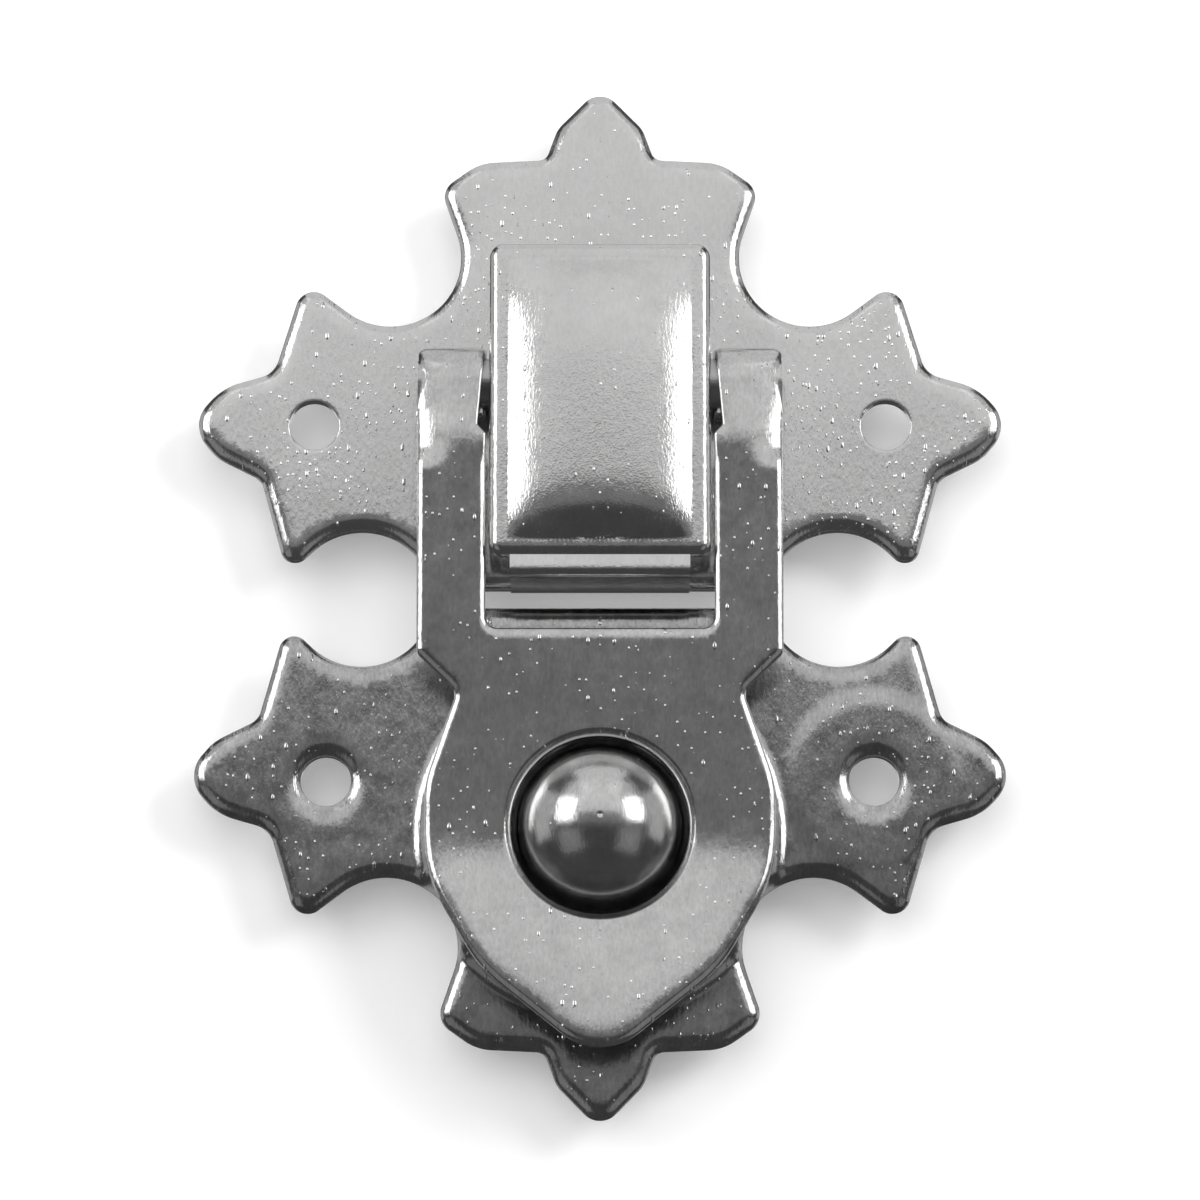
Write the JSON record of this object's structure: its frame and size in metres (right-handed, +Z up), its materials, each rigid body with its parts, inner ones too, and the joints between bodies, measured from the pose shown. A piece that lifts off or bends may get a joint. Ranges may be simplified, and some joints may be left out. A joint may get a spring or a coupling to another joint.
{
  "type": "spring hasp fastener",
  "caption": "Ornamental pressed-steel snap fastener: sprung hasp on a cruciform plate, with a round hole that drops over the ball stud of a matching catch plate.",
  "frame": {"origin": "midway between the upper plate's two screw holes, on the plate's back face", "axes": "+Z up along the fastener's long axis, from the catch plate to the upper plate; +Y into the wall, so the faces look along -Y; +X to the right seen from the front"},
  "size_m": [0.0404, 0.0063, 0.0523],
  "materials": {
    "nickel_plate": "satin-bright nickel plate over pressed steel, with small bright pits",
    "nickel_hasp": "satin-bright nickel plate with fine scratches and specks",
    "nickel_catch": "satin-bright nickel plate with radial drawing marks inside the boss",
    "nickel_stud": "bright nickel plate, polished by wear",
    "pin_steel": "drawn steel wire, nickel plated",
    "spring_steel": "hardened spring strip, oiled"
  },
  "bodies": {
    "catch": {"catch_plate": "nickel_catch", "catch_stud": "nickel_stud"},
    "upper": {"upper_plate": "nickel_plate", "cover": "nickel_plate", "leaf_spring": "spring_steel"},
    "hasp": {"hasp": "nickel_hasp", "hinge_pin": "pin_steel"}
  },
  "joints": [
    {"name": "leaf_travel", "type": "slide", "parent": "catch", "child": "upper", "axis": [0, -1, 0], "range_m": [0, 0.008]},
    {"name": "hasp_swing", "type": "hinge", "parent": "upper", "child": "hasp", "pos_m": [0, -0.00285, 0.00155], "axis": [-1, 0, 0], "range_deg": [0, 170], "stiffness_Nm_per_rad": 0.01, "springref_deg": -17.19, "deforming": ["leaf_spring"]}
  ]
}
